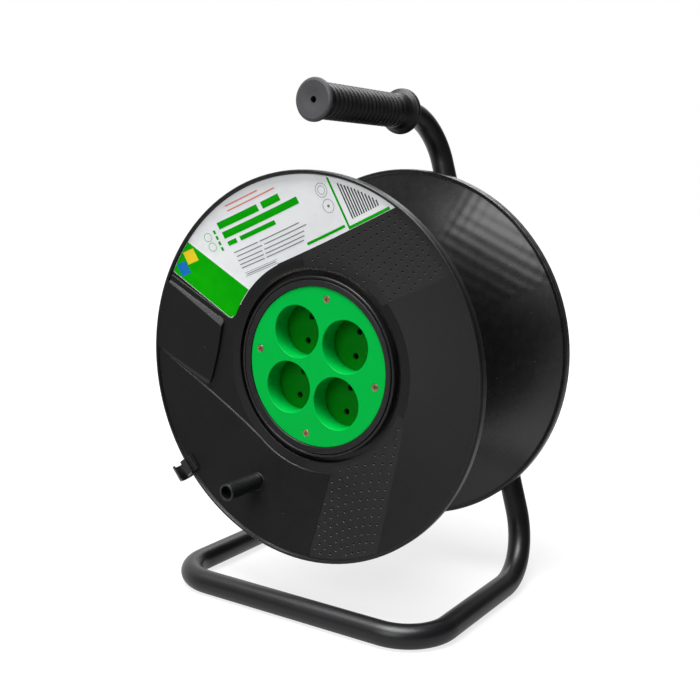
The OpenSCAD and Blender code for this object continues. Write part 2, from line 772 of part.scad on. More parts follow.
module rim_clip() {
  wall = 1.3;
  hook = clip_hook_diameter / 2;
  cr = flange_r + 5.6;
  ch = rim_front - 1.4;
  color([0.12, 0.12, 0.125])
    facing() rotate([0, 0, clip_angle]) rotate([90, 0, 0])
      translate([0, 0, -clip_length / 2]) linear_extrude(height = clip_length) {
        // Channel over the rim lip.
        polygon([[lip_in - 0.4 - wall, rim_front - 1.1], [lip_in - 0.4, rim_front - 1.1], [lip_in - 0.4, rim_front + 1.8],
          [flange_r + 0.3, rim_front + 1.8], [flange_r + 0.3, rim_front - rim_depth - 1.6],
          [flange_r + 0.3 + wall, rim_front - rim_depth - 1.6], [flange_r + 0.3 + wall, rim_front + 1.8 + wall],
          [lip_in - 0.4 - wall, rim_front + 1.8 + wall]]);
        // Foot on the face with an upturned edge.
        polygon([[lip_in - 6.4, rim_front - 2.3], [lip_in - 0.5, rim_front - 1.2], [lip_in - 0.5, rim_front],
          [lip_in - 5.4, rim_front - 0.9], [lip_in - 5.4, rim_front + 1.6], [lip_in - 6.4, rim_front + 1.6]]);
        // Open hook for the cord.
        difference() {
          translate([cr, ch]) circle(r = hook + wall);
          translate([cr, ch]) circle(r = hook);
          polygon([[cr, ch], [cr + 2.6, ch + 12], [cr - 20, ch + 16], [cr - 20, ch - 5], [flange_r + 0.4, ch - 5],
            [flange_r + 0.4, ch]]);
        }
      }
}

module front_label() {
  e = [cos(label_edge_angle), sin(label_edge_angle)];
  t = [-e[1], e[0]] * (label_inner_radius + 0.4);
  color([0.9, 0.92, 0.93])
    intersection() {
      facing() rotate_extrude() polygon([
        [label_inner_radius, mid_face + slope * (label_inner_radius - dish_radius) + 0.01],
        [label_inner_radius, mid_face + slope * (label_inner_radius - dish_radius) + label_thickness],
        [lip_in - 0.4, lip_face + label_thickness - 0.1], [lip_in - 0.4, lip_face - 0.4 * slope + 0.01]]);
      facing(40) linear_extrude(height = 50)
        polygon([t - 4 * e, t + far * e, [0, far], [-far, far], [-143, 75.2], [-82.2, 30.2], [-79.6, 29.4],
          [-77.6, 31.2], [-73, 40], [-40, 50]]);
    }
}

module crank_screw() {
  head = crank_pin_end + 2 + 2 * side_play;
  color([0.62, 0.63, 0.65])
    facing() translate(crank_pos)
      difference() {
        union() {
          translate([0, 0, head - 16]) cylinder(h = 16.2, r = 2);
          translate([0, 0, head]) cylinder(h = 2.2, r1 = 3.9, r2 = 3.5);
        }
        for (b = [0, 90]) {
          rotate([0, 0, b]) translate([-2, -0.45, head + 1]) cube([4, 0.9, 3]);
        }
      }
}

module crank_sleeve() {
  start = crank_seat + side_play;
  ring = crank_pin_end + side_play;
  color([0.1, 0.1, 0.105])
    facing() translate(crank_pos)
      difference() {
        union() {
          translate([0, 0, start]) cylinder(h = crank_tip - 0.4 - start, r = crank_r);
          translate([0, 0, crank_tip - 0.4]) cylinder(h = 0.4, r1 = crank_r, r2 = crank_r - 0.4);
        }
        translate([0, 0, start - 1]) cylinder(h = ring - start + 1, r = crank_bore_r);
        translate([0, 0, ring - 1]) cylinder(h = 5, r = 2.45);
        translate([0, 0, ring + 2]) cylinder(h = 40, r = crank_bore_r);
      }
}

frame_tube();
handle_grip();
axle_bolt();
axle_nut();
axle_sleeve();
axle_saddle();
axle_back_saddle();
axle_washer();
thrust_washer();
front_flange();
rear_flange();
drum_core();
front_hub_bush();
rear_hub_bush();
hub_screws();
socket_bezel();
socket_panel();
panel_screws();
contact_carrier();
carrier_screw();
line_busbar();
neutral_busbar();
contact_sleeves();
terminal_screws();
cord_inlet_bush();
rim_clip();
front_label();
crank_screw();
crank_sleeve();
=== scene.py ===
"""Looks of a portable extension cord reel: a black drum with a green socket panel on a bent tube stand."""

import math

import bmesh
import bpy
from mathutils import Matrix, Vector, kdtree


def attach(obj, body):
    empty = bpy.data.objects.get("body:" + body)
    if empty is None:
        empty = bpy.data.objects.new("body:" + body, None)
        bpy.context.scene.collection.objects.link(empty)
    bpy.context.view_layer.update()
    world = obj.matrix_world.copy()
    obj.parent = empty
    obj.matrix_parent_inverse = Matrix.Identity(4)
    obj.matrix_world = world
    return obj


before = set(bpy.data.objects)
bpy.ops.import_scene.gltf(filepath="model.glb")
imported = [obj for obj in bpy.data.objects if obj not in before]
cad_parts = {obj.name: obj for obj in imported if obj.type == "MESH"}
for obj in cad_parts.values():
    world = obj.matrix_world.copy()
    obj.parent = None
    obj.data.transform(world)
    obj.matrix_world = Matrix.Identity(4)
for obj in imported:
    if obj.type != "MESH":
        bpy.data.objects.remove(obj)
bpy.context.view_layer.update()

MM = 0.001

# ---------------------------------------------------------------- view and light
# The camera's angles are in degrees, and its target and distance in millimetres.
CAMERA_AZIMUTH = 32.88
CAMERA_ELEVATION = 10.23
CAMERA_ROLL = 1.08
CAMERA_TARGET = (-8.6, 0, 189.8)
CAMERA_DISTANCE = 863.1
CAMERA_LENS = 56.17
ROOM_LIGHT = 0.06
# The way to the side of the room that glossy surfaces see brightest.
LEFT_AND_BACK = (-0.866, 0.5, 0)
# In metres.
FLOOR_RADIUS = 6.0

# ---------------------------------------------------------------- sizes of the reel, in millimetres
AXLE_HEIGHT = 186.0
# Faces are given by their distance in front of the middle of the drum.
FLAT_FACE = 58.5
DISH_RADIUS = 80.3
LIP_INNER_RADIUS = 142.4
LIP_FACE = 73.4
DISH_SLOPE = (LIP_FACE - FLAT_FACE) / (LIP_INNER_RADIUS - DISH_RADIUS)

LABEL_ANGLE = math.radians(23.3)
LABEL_EDGE = 82.6
LABEL_INNER_RADIUS = 82.2
LABEL_OUTER_RADIUS = 142.0
LABEL_FACE_INNER = 59.206
LABEL_FACE_OUTER = 73.55
PRINT_HEIGHT = 0.12

RIGHT_FIELD_ANGLE = math.radians(24.4)
RIGHT_FIELD_DISTANCE = 23.3
RIGHT_FIELD_TANGENT = math.radians(-7.2)
RIGHT_FIELD_TANGENT_RADIUS = 80.0
LEFT_FIELD_LEAN = math.radians(8.3)
LEFT_FIELD_DISTANCE = 25.4

TUBE_RADIUS = 9.0
WELD_CENTRE = (44.49, 88.0, 254.77)
WELD_LEG_ANGLE = 32.9
UPRIGHT_LEAN = 15.9
WELD_RINGS = 60
BEAD_RADIUS = 1.5
BEAD_RIPPLE = 0.2

PIT_RADIUS = 1.05
# Radius and depth of each ring of a pit, from its rim down.
PIT_RINGS = ((0.88, 0.05), (0.52, 0.29), (0.25, 0.3))
PIT_SEGMENTS = 12
UPPER_PIT_PITCH = 6.14
LOWER_PIT_PITCH = 6.38
LOWER_COLUMN_PITCH = 6.27
# The pits keep these margins from the label and the smooth fields, and stay within these radii and angles.
PIT_MARGIN = 2.0
LEFT_PIT_MARGIN = 2.2
PITS_INNER_RADIUS = 78.0
PITS_OUTER_RADIUS = 139.0
UPPER_PITS_END = math.radians(95)
LOWER_PITS_END = math.radians(-26)
SKIN_LIFT = 0.02
SKIN_RISE = 0.3
SKIN_INNER_RADIUS = 75.2
SKIN_TAPER = 2.0
SKIN_GAP = 0.06
LOWER_SKIN_END = math.radians(-20)
UPPER_SKIN_END = math.radians(99)

# Where a finish changes, as radii or distances in front of the middle of the drum.
GAP_DUST_RADII = (73.5, 75.5)
# Depths over which the green panel is painted darker towards its recess floors, as painted shade.
RECESS_SHADE = (45.5, 42.0)
GRIP_DISC = (76, 80.5)
# The lattice's depth and turn, and the angles about the axle between which it fades in and out.
LATTICE_DEPTH = 0.16
LATTICE_TURN = 0.35
LATTICE_FADE_IN = (0.42, 0.5)
LATTICE_FADE_OUT = (1.12, 1.25)


def polar(radius, angle):
    return Vector((radius * math.cos(angle), radius * math.sin(angle)))


def smooth_step(value):
    value = max(0.0, min(1.0, value))
    return value * value * (3 - 2 * value)


# ---------------------------------------------------------------- camera, lamps and stage
def make_camera():
    azimuth, elevation, roll = (math.radians(a) for a in (CAMERA_AZIMUTH, CAMERA_ELEVATION, CAMERA_ROLL))
    target = Vector(CAMERA_TARGET) * MM
    distance = CAMERA_DISTANCE * MM
    back = Vector((
        math.sin(azimuth) * math.cos(elevation),
        -math.cos(azimuth) * math.cos(elevation),
        math.sin(elevation),
    ))
    level = Vector((math.cos(azimuth), math.sin(azimuth), 0))
    right = math.cos(roll) * level + math.sin(roll) * back.cross(level)
    turn = Matrix((right, back.cross(right), back)).transposed()
    data = bpy.data.cameras.new("camera")
    data.lens = CAMERA_LENS
    data.sensor_width = 36
    data.clip_start = 0.05
    camera = bpy.data.objects.new("camera", data)
    camera.matrix_world = Matrix.Translation(target + distance * back) @ turn.to_4x4()
    bpy.context.scene.collection.objects.link(camera)
    bpy.context.scene.camera = camera


def softbox(name, azimuth, elevation, distance, width, height, power):
    """A rectangular lamp that faces the drum, with its distance and sides in metres.

    Azimuth 0 stands in front, and 90 on the right."""
    a, e = math.radians(azimuth), math.radians(elevation)
    away = Vector((math.sin(a) * math.cos(e), -math.cos(a) * math.cos(e), math.sin(e)))
    data = bpy.data.lights.new(name, "AREA")
    data.shape = "RECTANGLE"
    data.size = width
    data.size_y = height
    data.energy = power
    lamp = bpy.data.objects.new(name, data)
    lamp.location = Vector((0, 0, AXLE_HEIGHT * MM)) + away * distance
    lamp.rotation_mode = "QUATERNION"
    lamp.rotation_quaternion = away.to_track_quat("Z", "Y")
    bpy.context.scene.collection.objects.link(lamp)


def math_node(tree, operation, first, second=None, third=None, clamp=False):
    """A math node whose inputs are sockets or plain numbers."""
    node = tree.nodes.new("ShaderNodeMath")
    node.operation = operation
    node.use_clamp = clamp
    for index, value in enumerate((first, second, third)):
        if value is None:
            continue
        if isinstance(value, (int, float)):
            node.inputs[index].default_value = value
        else:
            tree.links.new(value, node.inputs[index])
    return node.outputs[0]


def ramp_node(tree, value, low, high, bottom=0.0, top=1.0):
    """The bottom value below low, the top value above high, smooth between."""
    node = tree.nodes.new("ShaderNodeMapRange")
    node.interpolation_type = "SMOOTHSTEP"
    for label, number in (("From Min", low), ("From Max", high), ("To Min", bottom), ("To Max", top)):
        node.inputs[label].default_value = number
    tree.links.new(value, node.inputs["Value"])
    return node.outputs["Result"]


def vector_node(tree, operation, vector, other=None):
    """A vector math node. Its result is a number for a length or a dot product, and a vector otherwise."""
    node = tree.nodes.new("ShaderNodeVectorMath")
    node.operation = operation
    tree.links.new(vector, node.inputs[0])
    if other is not None:
        node.inputs[1].default_value = other
    return node.outputs["Value" if operation in ("LENGTH", "DOT_PRODUCT") else "Vector"]


def from_axle(tree, place):
    """How far a point lies right of the axle and above it."""
    split = tree.nodes.new("ShaderNodeSeparateXYZ")
    tree.links.new(place, split.inputs[0])
    return split.outputs["X"], math_node(tree, "SUBTRACT", split.outputs["Z"], AXLE_HEIGHT * MM)


def studio_white(tree, place, near=None):
    """White for the camera. Glossy and clear surfaces see it too, brightest on the left and behind."""
    path = tree.nodes.new("ShaderNodeLightPath")
    heading = vector_node(tree, "NORMALIZE", vector_node(tree, "MULTIPLY", place, (1, 1, 0)))
    leftward = vector_node(tree, "DOT_PRODUCT", heading, LEFT_AND_BACK)
    room = ramp_node(tree, leftward, 0.0, 0.9, 0.03, 1.0)
    if near is not None:
        room = math_node(tree, "MAXIMUM", room, near)
    glossy, clear = path.outputs["Is Glossy Ray"], path.outputs["Is Transmission Ray"]
    mirrored = math_node(tree, "MULTIPLY", math_node(tree, "ADD", glossy, clear, clamp=True), room)
    return math_node(tree, "MAXIMUM", path.outputs["Is Camera Ray"], mirrored)


def make_world():
    world = bpy.data.worlds.new("studio")
    bpy.context.scene.world = world
    world.use_nodes = True
    tree = world.node_tree
    tree.nodes.clear()
    room = tree.nodes.new("ShaderNodeBackground")
    room.inputs["Color"].default_value = (1, 1, 1, 1)
    diffuse = tree.nodes.new("ShaderNodeLightPath").outputs["Is Diffuse Ray"]
    white = studio_white(tree, tree.nodes.new("ShaderNodeTexCoord").outputs["Generated"])
    plain = math_node(tree, "MULTIPLY", diffuse, ROOM_LIGHT)
    tree.links.new(math_node(tree, "MAXIMUM", plain, white), room.inputs["Strength"])
    out = tree.nodes.new("ShaderNodeOutputWorld")
    tree.links.new(room.outputs[0], out.inputs["Surface"])


def make_floor():
    bm = bmesh.new()
    bmesh.ops.create_circle(bm, cap_ends=True, segments=64, radius=FLOOR_RADIUS)
    mesh = bpy.data.meshes.new("floor")
    bm.to_mesh(mesh)
    bm.free()
    floor = bpy.data.objects.new("floor", mesh)
    bpy.context.scene.collection.objects.link(floor)
    material = bpy.data.materials.new("white_floor")
    material.use_nodes = True
    tree = material.node_tree
    shader = tree.nodes["Principled BSDF"]
    shader.inputs["Base Color"].default_value = (0.24, 0.24, 0.24, 1)
    shader.inputs["Roughness"].default_value = 0.9
    shader.inputs["Specular IOR Level"].default_value = 0.0
    shader.inputs["Emission Color"].default_value = (1, 1, 1, 1)
    place = tree.nodes.new("ShaderNodeTexCoord").outputs["Object"]
    reach = vector_node(tree, "LENGTH", place)
    # Glossy surfaces see the floor bright close to the stand, and the camera sees it whiter further out.
    near = ramp_node(tree, reach, 0.12, 0.65, 0.58, 0.0)
    glow = ramp_node(tree, reach, 0.25, 0.9, 0.78, 1.0)
    lit = math_node(tree, "MULTIPLY", studio_white(tree, place, near), glow)
    tree.links.new(lit, shader.inputs["Emission Strength"])
    mesh.materials.append(material)


make_camera()
make_world()
make_floor()
softbox("top_softbox", -6, 72, 1.6, 1.3, 0.9, 60)
softbox("front_softbox", 1, 27, 1.8, 1.1, 0.9, 14)
softbox("back_softbox", 205, 40, 1.8, 1.0, 0.8, 7)
bpy.context.scene.view_settings.view_transform = "Standard"


# ---------------------------------------------------------------- shared effects
def new_group(name, values, results):
    """A node group that takes a Vector and the named values, and gives the named results."""
    group = bpy.data.node_groups.new(name, "ShaderNodeTree")
    group.interface.new_socket(name="Vector", in_out="INPUT", socket_type="NodeSocketVector")
    for label, value in values.items():
        socket = group.interface.new_socket(name=label, in_out="INPUT", socket_type="NodeSocketFloat")
        socket.default_value = value
    for label in results:
        group.interface.new_socket(name=label, in_out="OUTPUT", socket_type="NodeSocketFloat")
    return group, group.nodes.new("NodeGroupInput"), group.nodes.new("NodeGroupOutput")


def noise_node(tree, vector, scale, detail=2.0, roughness=0.5):
    node = tree.nodes.new("ShaderNodeTexNoise")
    node.inputs["Detail"].default_value = detail
    node.inputs["Roughness"].default_value = roughness
    tree.links.new(vector, node.inputs["Vector"])
    if isinstance(scale, (int, float)):
        node.inputs["Scale"].default_value = scale
    else:
        tree.links.new(scale, node.inputs["Scale"])
    return node.outputs["Fac"]


def make_grain_group():
    """Moulded or sprayed grain: fine noise over softer hills, as a height. The hills alone are the tone."""
    group, given, made = new_group("surface_grain", {"Size mm": 0.5, "Hills": 0.4}, ("Height", "Tone"))
    fine_scale = math_node(group, "DIVIDE", 1000.0, given.outputs["Size mm"])
    fine = noise_node(group, given.outputs["Vector"], fine_scale, 3.0, 0.55)
    hill_scale = math_node(group, "MULTIPLY", fine_scale, 0.22)
    hills = noise_node(group, given.outputs["Vector"], hill_scale, 2.0)
    raised = math_node(group, "MULTIPLY", hills, given.outputs["Hills"])
    group.links.new(math_node(group, "ADD", fine, raised), made.inputs["Height"])
    group.links.new(hills, made.inputs["Tone"])
    return group


def make_specks_group():
    """Sparse dust specks: a small disc in a few cells of a cell pattern."""
    group, given, made = new_group("dust_specks", {"Spacing mm": 5.0, "Share": 0.3}, ("Mask",))
    cells = group.nodes.new("ShaderNodeTexVoronoi")
    cells.feature = "F1"
    scale = math_node(group, "DIVIDE", 1000.0, given.outputs["Spacing mm"])
    group.links.new(given.outputs["Vector"], cells.inputs["Vector"])
    group.links.new(scale, cells.inputs["Scale"])
    split = group.nodes.new("ShaderNodeSeparateColor")
    group.links.new(cells.outputs["Color"], split.inputs[0])
    chosen = math_node(group, "LESS_THAN", split.outputs["Red"], given.outputs["Share"])
    reach = math_node(group, "MULTIPLY_ADD", split.outputs["Green"], 0.035, 0.018)
    inside = math_node(group, "LESS_THAN", cells.outputs["Distance"], reach)
    group.links.new(math_node(group, "MULTIPLY", chosen, inside), made.inputs["Mask"])
    return group


def make_smudge_group():
    """Broad handling marks and hairline rubs, as a value from 0 to 1 round 0.5."""
    group, given, made = new_group("handling_smudges", {"Size mm": 40.0}, ("Value",))
    scale = math_node(group, "DIVIDE", 1000.0, given.outputs["Size mm"])
    broad = noise_node(group, given.outputs["Vector"], scale, 4.0, 0.6)
    stretch = group.nodes.new("ShaderNodeMapping")
    stretch.inputs["Rotation"].default_value = (0.4, 0.9, 0.2)
    stretch.inputs["Scale"].default_value = (1.0, 9.0, 1.0)
    group.links.new(given.outputs["Vector"], stretch.inputs["Vector"])
    rub_scale = math_node(group, "MULTIPLY", scale, 3.0)
    rubs = noise_node(group, stretch.outputs["Vector"], rub_scale, 3.0, 0.65)
    rub = math_node(group, "MULTIPLY", math_node(group, "SUBTRACT", rubs, 0.5), 0.5)
    group.links.new(math_node(group, "ADD", broad, rub, clamp=True), made.inputs["Value"])
    return group


def make_lattice_group():
    """Soft round dimples in crossed rows, between two angles about the axle, as a height from 0 to 1."""
    group, given, made = new_group("dimple_lattice", {"Pitch mm": 13.0}, ("Height",))
    right, up = from_axle(group, given.outputs["Vector"])
    beat = math_node(group, "DIVIDE", 2000.0 * math.pi, given.outputs["Pitch mm"])
    waves = []
    for turn in (LATTICE_TURN, LATTICE_TURN + math.pi / 2):
        across = math_node(group, "MULTIPLY", right, math.cos(turn))
        along = math_node(group, "MULTIPLY_ADD", up, math.sin(turn), across)
        waves.append(math_node(group, "SINE", math_node(group, "MULTIPLY", along, beat)))
    bumps = math_node(group, "MULTIPLY_ADD", math_node(group, "MULTIPLY", *waves), 0.5, 0.5)
    angle = math_node(group, "ARCTAN2", up, right)
    fade_in = ramp_node(group, angle, *LATTICE_FADE_IN)
    fade_out = ramp_node(group, angle, *LATTICE_FADE_OUT, 1.0, 0.0)
    inside = math_node(group, "MULTIPLY", fade_in, fade_out)
    group.links.new(math_node(group, "MULTIPLY", bumps, inside), made.inputs["Height"])
    return group


def make_gap_dust_group():
    """Dense dust grains on the upper part of the flange's inner edge, as a mask."""
    group, given, made = new_group("gap_dust", {}, ("Mask",))
    right, up = from_axle(group, given.outputs["Vector"])
    level = group.nodes.new("ShaderNodeCombineXYZ")
    group.links.new(right, level.inputs["X"])
    group.links.new(up, level.inputs["Y"])
    reach = vector_node(group, "LENGTH", level.outputs[0])
    inner, outer = GAP_DUST_RADII
    edge = ramp_node(group, reach, inner * MM, outer * MM, 1.0, 0.0)
    top = ramp_node(group, math_node(group, "DIVIDE", up, reach), 0.72, 0.9)
    grains = ramp_node(group, noise_node(group, given.outputs["Vector"], 1300.0, 1.0), 0.54, 0.62)
    place = math_node(group, "MULTIPLY", edge, top)
    group.links.new(math_node(group, "MULTIPLY", place, grains), made.inputs["Mask"])
    return group


GRAIN = make_grain_group()
GAP_DUST = make_gap_dust_group()
LATTICE = make_lattice_group()
SPECKS = make_specks_group()
SMUDGES = make_smudge_group()


# ---------------------------------------------------------------- materials
class Finish:
    """One material under construction: its tree, shader and object coordinates."""

    def __init__(self, name, color, roughness, **sockets):
        self.material = bpy.data.materials.new(name)
        self.material.use_nodes = True
        self.material.diffuse_color = (*color, 1)
        self.tree = self.material.node_tree
        self.shader = self.tree.nodes["Principled BSDF"]
        self.shader.inputs["Base Color"].default_value = (*color, 1)
        self.shader.inputs["Roughness"].default_value = roughness
        for socket, value in sockets.items():
            self.shader.inputs[socket.replace("_", " ")].default_value = value
        self.place = self.tree.nodes.new("ShaderNodeTexCoord").outputs["Object"]
        self.color = (*color, 1)
        self.roughness = roughness

    def group(self, group, **values):
        node = self.tree.nodes.new("ShaderNodeGroup")
        node.node_tree = group
        self.tree.links.new(self.place, node.inputs["Vector"])
        for socket, value in values.items():
            node.inputs[socket.replace("_", " ")].default_value = value
        return node

    def colour_mix(self, mask, first, second):
        mix = self.tree.nodes.new("ShaderNodeMix")
        mix.data_type = "RGBA"
        self.tree.links.new(mask, mix.inputs[0])
        for socket, value in ((mix.inputs[6], first), (mix.inputs[7], second)):
            if isinstance(value, tuple):
                socket.default_value = value
            else:
                self.tree.links.new(value, socket)
        return mix.outputs[2]

    def depth(self, front, back):
        """0 at the front distance from the middle of the drum and 1 at the back one, in millimetres."""
        split = self.tree.nodes.new("ShaderNodeSeparateXYZ")
        self.tree.links.new(self.place, split.inputs[0])
        return ramp_node(self.tree, split.outputs["Y"], -front * MM, -back * MM)

    def bump(self, height, depth_mm, edge_mm=0.0):
        """Bumps the surface, over edges that are softened to the given radius."""
        node = self.tree.nodes.new("ShaderNodeBump")
        node.inputs["Distance"].default_value = depth_mm * MM
        self.tree.links.new(height, node.inputs["Height"])
        if edge_mm:
            edge = self.tree.nodes.new("ShaderNodeBevel")
            edge.samples = 6
            edge.inputs["Radius"].default_value = edge_mm * MM
            self.tree.links.new(edge.outputs[0], node.inputs["Normal"])
        self.tree.links.new(node.outputs[0], self.shader.inputs["Normal"])

    def rough_from(self, value, spread):
        """The roughness wanders round its plain value by the spread."""
        moved = math_node(self.tree, "MULTIPLY_ADD", value, spread, self.roughness - spread / 2)
        self.tree.links.new(moved, self.shader.inputs["Roughness"])

    def paint(self, colour):
        self.tree.links.new(colour, self.shader.inputs["Base Color"])


def black_moulding(
    name, tone, roughness, grain_mm, grain_depth, dust=0.25, smudge=0.12, specular=0.3, edge_mm=0.0
):
    """Black plastic with a fine moulded grain, faint handling marks and a few dust specks."""
    finish = Finish(name, (tone, tone * 0.98, tone * 1.05), roughness, Specular_IOR_Level=specular)
    grain = finish.group(GRAIN, Size_mm=grain_mm, Hills=0.5)
    specks = finish.group(SPECKS, Spacing_mm=6.0, Share=dust)
    smudges = finish.group(SMUDGES, Size_mm=45.0)
    lighter = (tone * 1.7, tone * 1.7, tone * 1.8, 1)
    patches = ramp_node(finish.tree, grain.outputs["Tone"], 0.35, 0.75)
    toned = finish.colour_mix(patches, finish.color, lighter)
    finish.paint(finish.colour_mix(specks.outputs["Mask"], toned, (0.16, 0.155, 0.15, 1)))
    finish.rough_from(smudges.outputs["Value"], smudge)
    finish.bump(grain.outputs["Height"], grain_depth, edge_mm)
    return finish


def face_moulding():
    """The black plastic of the front flange, with dust along its inner edge."""
    finish = black_moulding("drum_face_plastic", 0.0024, 0.35, 0.4, 0.02, specular=0.36, edge_mm=1.2)
    plain = finish.shader.inputs["Base Color"].links[0].from_socket
    dusty = finish.group(GAP_DUST).outputs["Mask"]
    finish.paint(finish.colour_mix(dusty, plain, (0.09, 0.085, 0.07, 1)))
    return finish


def rear_moulding():
    """The drum's smooth black plastic, with a soft lattice on the upper right of the dish."""
    finish = black_moulding(
        "rear_flange_plastic", 0.0045, 0.27, 1.2, 0.012, smudge=0.1, specular=0.72, edge_mm=1.2
    )
    bump = finish.tree.nodes.new("ShaderNodeBump")
    bump.inputs["Distance"].default_value = LATTICE_DEPTH * MM
    finish.tree.links.new(finish.group(LATTICE).outputs["Height"], bump.inputs["Height"])
    fine = finish.shader.inputs["Normal"].links[0].from_node
    finish.tree.links.new(fine.inputs["Normal"].links[0].from_socket, bump.inputs["Normal"])
    finish.tree.links.new(bump.outputs[0], fine.inputs["Normal"])
    return finish


def powder_coat():
    """Baked black paint with a soft orange peel."""
    finish = Finish("black_powder_coat", (0.006, 0.006, 0.007), 0.36, Specular_IOR_Level=0.38)
    peel = finish.group(GRAIN, Size_mm=1.6, Hills=0.9)
    specks = finish.group(SPECKS, Spacing_mm=7.0, Share=0.25)
    smudges = finish.group(SMUDGES, Size_mm=35.0)
    finish.paint(finish.colour_mix(specks.outputs["Mask"], finish.color, (0.12, 0.12, 0.12, 1)))
    finish.rough_from(smudges.outputs["Value"], 0.14)
    finish.bump(peel.outputs["Height"], 0.05)
    return finish


def grip_rubber():
    """Matt black rubber, a little dusty, paler where the hand rubs it and on its front disc."""
    finish = Finish("grip_rubber", (0.006, 0.006, 0.0068), 0.44, Specular_IOR_Level=0.35)
    grain = finish.group(GRAIN, Size_mm=0.35, Hills=0.6)
    specks = finish.group(SPECKS, Spacing_mm=3.0, Share=0.35)
    smudges = finish.group(SMUDGES, Size_mm=18.0)
    rubbed = ramp_node(finish.tree, smudges.outputs["Value"], 0.45, 0.8)
    toned = finish.colour_mix(rubbed, finish.color, (0.014, 0.014, 0.0155, 1))
    toned = finish.colour_mix(finish.depth(*GRIP_DISC), toned, (0.05, 0.05, 0.054, 1))
    finish.paint(finish.colour_mix(specks.outputs["Mask"], toned, (0.15, 0.15, 0.15, 1)))
    finish.rough_from(smudges.outputs["Value"], 0.16)
    finish.bump(grain.outputs["Height"], 0.035)
    return finish


def green_panel():
    """Bright green plastic with a satin skin, with painted shade that darkens it towards the floors of the
    recesses.
    """
    finish = Finish("green_panel", (0.0, 0.39, 0.047), 0.4, Specular_IOR_Level=0.06)
    grain = finish.group(GRAIN, Size_mm=0.6, Hills=0.8)
    smudges = finish.group(SMUDGES, Size_mm=30.0)
    specks = finish.group(SPECKS, Spacing_mm=8.0, Share=0.2)
    deeper = finish.colour_mix(smudges.outputs["Value"], (0.0, 0.375, 0.043, 1), (0.0, 0.405, 0.052, 1))
    # Painted shade: the green turns dark towards the floors of the socket recesses.
    shaded = finish.colour_mix(finish.depth(*RECESS_SHADE), deeper, (0.0, 0.18, 0.004, 1))
    finish.paint(finish.colour_mix(specks.outputs["Mask"], shaded, (0.1, 0.28, 0.1, 1)))
    finish.rough_from(smudges.outputs["Value"], 0.1)
    finish.bump(grain.outputs["Height"], 0.012)
    return finish


def metal(name, color, roughness, stain, grain_mm=0.8):
    """Plated or solid metal with a patchy tarnish."""
    finish = Finish(name, color, roughness, Metallic=1.0)
    grain = finish.group(GRAIN, Size_mm=grain_mm, Hills=0.5)
    smudges = finish.group(SMUDGES, Size_mm=4.0)
    patches = ramp_node(finish.tree, smudges.outputs["Value"], 0.42, 0.72)
    finish.paint(finish.colour_mix(patches, finish.color, stain))
    finish.rough_from(smudges.outputs["Value"], 0.25)
    finish.bump(grain.outputs["Height"], 0.02)
    return finish


def natural_nylon():
    finish = Finish("natural_nylon", (0.62, 0.6, 0.53), 0.45, Subsurface_Weight=0.1)
    grain = finish.group(GRAIN, Size_mm=0.6, Hills=0.6)
    smudges = finish.group(SMUDGES, Size_mm=10.0)
    finish.paint(finish.colour_mix(smudges.outputs["Value"], (0.66, 0.64, 0.57, 1), (0.55, 0.53, 0.46, 1)))
    finish.bump(grain.outputs["Height"], 0.02)
    return finish


def printed_film(name, color, deeper=None, smudge_mm=30.0, gloss=0.25):
    """One ink of the glossy printed film, which lies with soft waves on the drum."""
    finish = Finish(name, color, 0.35, Specular_IOR_Level=gloss, Coat_Weight=gloss, Coat_Roughness=0.12)
    waves = finish.group(GRAIN, Size_mm=9.0, Hills=1.0)
    smudges = finish.group(SMUDGES, Size_mm=smudge_mm)
    other = deeper or tuple(c * 0.93 for c in color)
    patches = ramp_node(finish.tree, smudges.outputs["Value"], 0.35, 0.75)
    finish.paint(finish.colour_mix(patches, finish.color, (*other, 1)))
    finish.rough_from(smudges.outputs["Value"], 0.08)
    finish.bump(waves.outputs["Height"], 0.05)
    return finish


FACE_PLASTIC = face_moulding()
DRUM_PLASTIC = black_moulding(
    "drum_smooth_plastic", 0.0045, 0.26, 1.2, 0.012, smudge=0.1, specular=0.75, edge_mm=0.5
)
TRIM_PLASTIC = black_moulding("trim_plastic", 0.006, 0.34, 0.6, 0.02, dust=0.15, specular=0.4, edge_mm=0.4)
FIELD_PLASTIC = black_moulding("drum_field_plastic", 0.0045, 0.4, 0.5, 0.05, specular=0.42, edge_mm=0.4)
# Painted glint: a paler, glossier black on the lower lips of the pits, standing in for the top lamp's
# highlight.
PIT_PAINTED_GLINT_PLASTIC = black_moulding("pit_lip_painted_glint_plastic", 0.03, 0.32, 0.4, 0.01, dust=0.0, specular=0.9)
REAR_PLASTIC = rear_moulding()
# Painted shade: a near-black on the pit floors and upper walls, standing in for the shade inside the pits.
PIT_PAINTED_SHADE_PLASTIC = black_moulding("pit_painted_shade_plastic", 0.001, 0.6, 0.4, 0.01, dust=0.0, specular=0.1)
INNER_PLASTIC = black_moulding("inner_plastic", 0.02, 0.5, 0.6, 0.02, dust=0.1)
INLET_RUBBER = black_moulding("inlet_rubber", 0.012, 0.6, 0.4, 0.02, dust=0.1)
POWDER_COAT = powder_coat()
GRIP_RUBBER = grip_rubber()
GREEN_PANEL = green_panel()
ZINC = metal("zinc_plate", (0.56, 0.57, 0.58), 0.38, (0.42, 0.42, 0.4, 1))
SCREW_BRASS = metal("worn_yellow_zinc", (0.5, 0.33, 0.2), 0.42, (0.22, 0.15, 0.1, 1), 0.4)
CONTACT_BRASS = metal("contact_brass", (0.72, 0.5, 0.2), 0.3, (0.55, 0.36, 0.14, 1))
NYLON = natural_nylon()
LABEL_WHITE = printed_film("label_white_film", (0.87, 0.885, 0.9))
INK_GREEN = printed_film("ink_green", (0.0, 0.36, 0.0), (0.004, 0.41, 0.0), 22.0, gloss=0.05)
INK_GREY = printed_film("ink_grey", (0.2, 0.2, 0.21))
